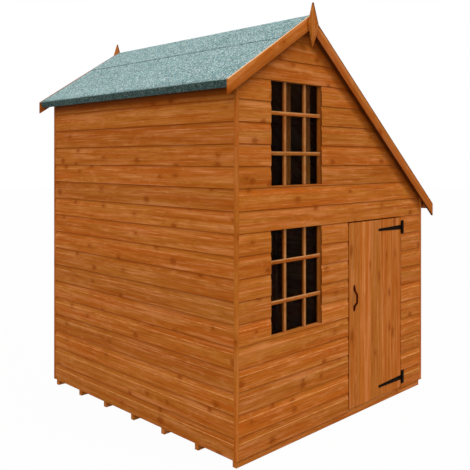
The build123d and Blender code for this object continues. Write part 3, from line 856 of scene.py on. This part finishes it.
# A bar's row holds how far it is from the middle, its width, and the stain of its painted side
# and of its others: the fronts of the uprights and beads and the tops of the cross bars are
# painted light, their other sides painted shade, and the tops of the slats painted shade.
for floor_name, number in (("lower", 430), ("upper", 440)):
    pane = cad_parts[f"{floor_name}_window_glass"]
    pane.data.materials.clear()
    pane.data.materials.append(glass_finish)
    pane_low, pane_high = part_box(f"{floor_name}_window_glass")
    middle = (pane_low + pane_high) / 2
    room = pane_high - pane_low
    uprights = [(way * upright_spacing / 2, upright_width, -1.1, 0.2) for way in (-1, 1)]
    uprights += [(way * (room.x - bead_width) / 2, bead_width, -0.7, 0.6) for way in (-1, 1)]
    crosses = [(way * cross_spacing / 2, cross_width, -1.4, 0.1) for way in (-1, 1)]
    slats = [(way * upright_spacing / 2 + slat_aside, slat_width, 1.3, 0) for way in (-1, 1)]
    upright_y = pane_low.y - upright_depth / 2
    cross_y = pane_low.y - upright_depth - cross_depth / 2
    slat_y = pane_high.y + slat_room / 2
    parts = [
        ("upright_bars", wood_bar, x_way, -y_way, upright_y, upright_depth, uprights),
        ("cross_bars", wood_cross_bar, z_way, z_way, cross_y, cross_depth, crosses),
    ]
    if floor_name == "upper":
        parts.append(("inner_slats", wood_bar, x_way, z_way, slat_y, slat_depth, slats))
    for part, wood, lay, painted_side, centre_y, depth, bars in parts:
        work = bmesh.new()
        stick = work.verts.layers.float_vector.new("stick")
        for offset, width, worn, plain in bars:
            centre = Vector((middle.x, centre_y, middle.z)) + lay * offset
            size = (width, depth, room.z) if lay.x else (room.x, depth, width)
            number += 1
            for vert in block(work, size, centre):
                stain = worn if (vert.co - centre).dot(painted_side) > 0 else plain
                vert[stick] = (number, centre.dot(lay), stain)
        ease_edges(work, sawn_ease)
        shown(work, f"{floor_name}_window_{part}", wood, "house", "stained_timber")


# Door: five upright boards with a V between each two, on ledges and braces. The nails that
# fix them are in the section on fixings.
door_low, door_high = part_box("door_boards")
door_count = 5
door_cover = (door_high.x - door_low.x) / door_count + 1e-6
door_edge = 0.0005
door_vee = 0.0009
brace_grain = (0, -radians(47), 0)
sheet = bmesh.new()
block(sheet, door_high - door_low, (door_low + door_high) / 2)
door_boards = matched_boards(sheet, x_way, door_cover, along_z, 460, door_vee)
# The boards' top and bottom edges and the left edge are painted dark: painted shade in the gaps round the
# door.
stick = door_boards.verts.layers.float_vector["stick"]
for vert in door_boards.verts:
    if vert.co.z > door_high.z - door_edge or vert.co.z < door_low.z + door_edge:
        vert[stick].z = 1.4
    elif vert.co.x < door_low.x + door_edge:
        vert[stick].z = 1.5
wood_door = stained_wood("stained_wood_door", along_z, 1.0, 1.5, 0.8)
shown(door_boards, "door_boards_matched", wood_door, "door", "stained_timber", "door_boards")
wood_brace = stained_wood("stained_wood_brace", brace_grain)
timber("door_braces", brace_grain, wood_brace, planed_ease, "door", "stained_timber")


# T hinges and the bow handle: pressed steel and bent bar, painted black and dark brown, with
# softened edges, held by countersunk cross-head screws.
def painted_steel(name, colour, worn):
    """Matt paint on steel, thinly scuffed, a little uneven in gloss."""
    finish, tree, shader = new_finish(name)
    scuff = clouds(tree, shade_node(tree, "TexCoord").outputs["Object"], 180, 5)
    tint = palette(tree, scuff, (0.45, colour), (0.80, worn), shift="LINEAR")
    gloss = shade_node(tree, "MapRange", {"Value": scuff, "To Min": 0.45, "To Max": 0.65}).outputs[0]
    bump = shade_node(tree, "Bump", {"Distance": 0.0002, "Strength": 0.5, "Height": scuff}).outputs[0]
    feed(shader, {"Base Color": tint, "Roughness": gloss, "Normal": bump})
    feed(shader, {"Specular IOR Level": 0.02, "Specular Tint": (1, 0.5, 0.3, 1)})
    return finish


black_paint = painted_steel("black_paint", (0.0040, 0.0014, 0.0002), (0.009, 0.0045, 0.0015))
brown_paint = painted_steel("dark_brown_paint", (0.042, 0.0024, 0.0004), (0.056, 0.0060, 0.0018))
hinge_ease = 0.0006
foot_ease = 0.0005
foot_thickness = 0.003
bar_radius = 0.0060
bow_reach = 0.0205
half_bow = ((0.068, 0.0015), (0.050, 0.0015), (0.044, 0.0060), (0.028, 0.0175))
half_bow += ((0.022, bow_reach), (0.008, bow_reach))


def softened(node, ease):
    """A node's metal with its sharp edges eased."""
    work = sheet_of(node)
    ease_edges(work, ease, 50, clamp_overlap=True)
    return work


straps = softened("hinge_straps", hinge_ease)
strap = shown(straps, "hinge_straps_steel", black_paint, "door", "black_hinge", "hinge_straps")
plates = softened("hinge_plates", hinge_ease)
plate = shown(plates, "hinge_plates_steel", black_paint, "house", "black_hinge", "hinge_plates")
feet = softened("door_handle", foot_ease)
handle_low, handle_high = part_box("door_handle")
foot_face = handle_high.y - foot_thickness
saw(feet, y_way * foot_face, -y_way)
bow_middle = (handle_low + handle_high) / 2
bow = bpy.data.curves.new("door_handle_bow", "CURVE")
bow.dimensions = "3D"
bow.bevel_depth = bar_radius
bow.bevel_resolution = 4
bow.use_fill_caps = True
line = bow.splines.new("NURBS")
route = half_bow + tuple((-up, out) for up, out in reversed(half_bow))
line.points.add(len(route) - 1)
for point, (up, out) in zip(line.points, route):
    point.co = (bow_middle.x, foot_face - out, bow_middle.z + up, 1)
line.order_u = 3
line.use_endpoint_u = True
line.resolution_u = 8
bent = bpy.data.objects.new("door_handle_bow", bow)
bar_mesh = bpy.data.meshes.new_from_object(bent)
feet.from_mesh(bar_mesh)
bpy.data.objects.remove(bent)
bpy.data.meshes.remove(bar_mesh)
bmesh.ops.remove_doubles(feet, verts=feet.verts, dist=1e-6)
bmesh.ops.recalc_face_normals(feet, faces=feet.faces)
handle = shown(feet, "door_handle_bar", brown_paint, "door", "dark_handle", "door_handle")
for piece in (strap, plate, handle):
    for polygon in piece.data.polygons:
        polygon.use_smooth = True
    piece.data.set_sharp_from_angle(angle=radians(35))


# Fixings: every cladding board is nailed to each stud that it crosses, and the door's boards to
# its ledges, and the heads are stained over. Clout nails hold the felt, and countersunk
# cross-head screws hold the hinges and the handle.
nail_steel = painted_steel("stained_nail_heads", (0.170, 0.045, 0.008), (0.260, 0.095, 0.030))
zinc = painted_steel("dull_zinc", (0.105, 0.150, 0.145), (0.210, 0.270, 0.260))
nail_radius = 0.0021
nail_height = 0.0007
nail_up = 0.021
nail_clear = 0.004
strip_nails = 0.3
first_strip_nail = 0.1
barge_nails = (0.10, 0.07)
barge_nail_depth = 0.032
finial_nails = (0.004, 0.050)
door_nails = ((-0.03, 0.018), (0.03, -0.018))
clout_radius = 0.0036
clout_height = 0.0018
clout_spacing = 0.1
clout_margin = 0.015
clout_up = 0.0008
eaves_clouts = (0.018, 0.0012)
lap_clouts = 0.02
verge_clouts = 0.05
under_boards_nails = 0.035
head_sunk = 0.0003
screw_radius = 0.0034
screw_proud = 0.0004
screw_depth = 0.0012
screw_arm = 0.6 * screw_radius
screw_slot = 0.13 * screw_radius


def heads(places, radius, height):
    """Low domed heads, each at a point on a surface and along its normal."""
    work = bmesh.new()
    for point, normal in places:
        turn = normal.to_track_quat("Z", "Y").to_matrix().to_4x4()
        seat = Matrix.Translation(point + normal * (height / 2 - head_sunk)) @ turn
        made = bmesh.ops.create_cone(
            work, cap_ends=True, segments=8, radius1=radius, radius2=0.8 * radius, depth=height, matrix=seat
        )
        faces = {face for vert in made["verts"] for face in vert.link_faces}
        top = max(faces, key=lambda face: face.calc_center_median().dot(normal))
        bmesh.ops.poke(work, faces=[top], offset=0.25 * height)
    return work


def boxes_of(node):
    """The box of each solid in a node, as (lowest corner, highest corner)."""
    work = sheet_of(node)
    boxes = []
    for found in separate(work):
        corners = [vert.co for vert in found]
        boxes.append([Vector(pick(co[axis] for co in corners) for axis in range(3)) for pick in (min, max)])
    work.free()
    return boxes


plate_boxes = boxes_of("hinge_plates")
strap_boxes = boxes_of("hinge_straps")
metal_boxes = plate_boxes + strap_boxes + boxes_of("door_handle")


def on_wood(point):
    """Whether a place on the front lies clear of the hinges and the handle."""
    for low, high in metal_boxes:
        across = low.x - nail_clear < point.x < high.x + nail_clear
        if across and low.z - nail_clear < point.z < high.z + nail_clear:
            return False
    return True


stud_boxes = boxes_of("front_wall_studs") + boxes_of("back_wall_studs") + boxes_of("side_wall_studs")
posts = [(low + high) / 2 for low, high in stud_boxes]
tops = [roof_plane(side, under_boards_nails) for side in (-1, 1)]
nails = []
for face, outward in (
    (front_low, -y_way),
    (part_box("back_wall_cladding")[1], y_way),
    (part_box("left_wall_cladding")[0], -x_way),
    (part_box("right_wall_cladding")[1], x_way),
):
    for post in posts:
        if (post - face).dot(outward) < -0.1:
            continue
        for row in range(ceil((ridge_top - board_start) / board_cover)):
            point = Vector((post.x, post.y, board_start + row * board_cover + nail_up))
            point += outward * (face - point).dot(outward)
            if all((point - top).dot(normal) < 0 for top, normal in tops) and on_wood(point):
                nails.append((point, outward))
for end, outward in both_ends:
    facing = y_way * outward
    for side, side_name in both_sides:
        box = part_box(f"corner_strip_{end}_{side_name}")
        middle = (box[0] + box[1]) / 2
        for row in range(ceil((box[1].z - box[0].z) / strip_nails) - 1):
            height = box[0].z + first_strip_nail + strip_nails * row
            nails.append((Vector((middle.x, box[outward > 0].y, height)), facing))
            nails.append((Vector((box[side > 0].x, middle.y, height)), x_way * side))
        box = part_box(f"barge_board_{end}_{side_name}")
        reach = (box[1].x - box[0].x) / cos(pitch[side])
        for run in (barge_nails[0], reach / 2, reach - barge_nails[1]):
            point = slope_point(side, run, barge_nail_depth)
            point.y = box[outward > 0].y
            nails.append((point, facing))
    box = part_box(f"finial_{end}")
    for down in finial_nails:
        nails.append((Vector((ridge_x, box[outward > 0].y, box[1].z - finial_waist - down)), facing))
shown(heads(nails, nail_radius, nail_height), "wall_nail_heads", nail_steel, "house", "dark_handle")

nails = []
for low, high in boxes_of("door_ledges"):
    for board in range(door_count):
        for across, up in door_nails:
            middle_x = door_low.x + (board + 0.5) * door_cover + across
            point = Vector((middle_x, door_low.y, (low.z + high.z) / 2 + up))
            if on_wood(point):
                nails.append((point, -y_way))
shown(heads(nails, nail_radius, nail_height), "door_nail_heads", nail_steel, "door", "dark_handle")

clouts = []
along = [verge_front + clout_margin]
while along[-1] < verge_back - clout_margin - clout_spacing:
    along.append(along[-1] + clout_spacing)
along.append(verge_back - clout_margin)
for side, side_name in both_sides:
    normal = roof_plane(side, 0)[1]
    down = Vector((side * cos(pitch[side]), 0, -sin(pitch[side])))
    reach = abs(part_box(f"felt_{side_name}")[side > 0].x - ridge_x) / cos(pitch[side])
    for place in along:
        for point, facing in (
            (slope_point(side, reach, eaves_clouts[0]) + down * eaves_clouts[1], down),
            (slope_point(side, ridge_reach - lap_clouts, 0) + normal * clout_up, normal),
        ):
            clouts.append((Vector((point.x, place, point.z)), facing))
    for verge in (along[0], along[-1]):
        run = verge_clouts
        while run < reach - verge_clouts:
            point = slope_point(side, run, 0 if run < ridge_reach else felt_thickness) + normal * clout_up
            clouts.append((Vector((point.x, verge, point.z)), normal))
            run += clout_spacing
shown(heads(clouts, clout_radius, clout_height), "felt_clout_nails", zinc, "house", "roof_felt")


def screws(places):
    """Countersunk heads that face the front, each with a cross pressed into it."""
    work = bmesh.new()
    for number, place in enumerate(places):
        turned = Matrix.Rotation(pi / 2, 4, "X") @ Matrix.Rotation(radians(37 * number), 4, "Z")
        seat = Matrix.Translation(place - Vector((0, screw_proud, 0))) @ turned
        ring = bmesh.ops.create_circle(work, segments=16, radius=screw_radius, matrix=seat)["verts"]
        rim = list(dict.fromkeys(edge for vert in ring for edge in vert.link_edges))
        corners = []
        for quarter in range(4):
            spin = seat @ Matrix.Rotation(quarter * pi / 2, 4, "Z")
            for across, up in ((screw_slot, screw_arm), (-screw_slot, screw_arm), (-screw_slot, screw_slot)):
                corners.append(work.verts.new(spin @ Vector((across, up, 0))))
        cross = [work.edges.new(pair) for pair in zip(corners, corners[1:] + corners[:1])]
        bmesh.ops.bridge_loops(work, edges=rim + cross)
        for edges, depth in ((rim, screw_proud), (cross, screw_depth)):
            pulled = bmesh.ops.extrude_edge_only(work, edges=edges)
            pull(work, pulled, (0, depth, 0))
        floor_edges = [edge for edge in pulled["geom"] if isinstance(edge, bmesh.types.BMEdge)]
        bmesh.ops.contextual_create(work, geom=floor_edges)
    face_out(work, -y_way)
    return work


hinge_thickness = 0.003
hinge_face = door_low.y - hinge_thickness
plate_holes = ((0.017, 0.033), (0.009, 0), (0.017, -0.033))
strap_holes = ((0.035, 0.007), (0.035, -0.007), (0.115, 0), (0.195, 0), (0.267, 0))
for boxes, holes, name, body in (
    (plate_boxes, plate_holes, "hinge_plate_screws", "house"),
    (strap_boxes, strap_holes, "hinge_strap_screws", "door"),
):
    places = []
    for low, high in boxes:
        for aside, up in holes:
            places.append(Vector((high.x - aside, hinge_face, (low.z + high.z) / 2 + up)))
    shown(screws(places), name, black_paint, body, "black_hinge")
foot_hole = 0.0735
places = [Vector((bow_middle.x, foot_face, bow_middle.z + way * foot_hole)) for way in (-1, 1)]
shown(screws(places), "door_handle_screws", brown_paint, "door", "dark_handle")
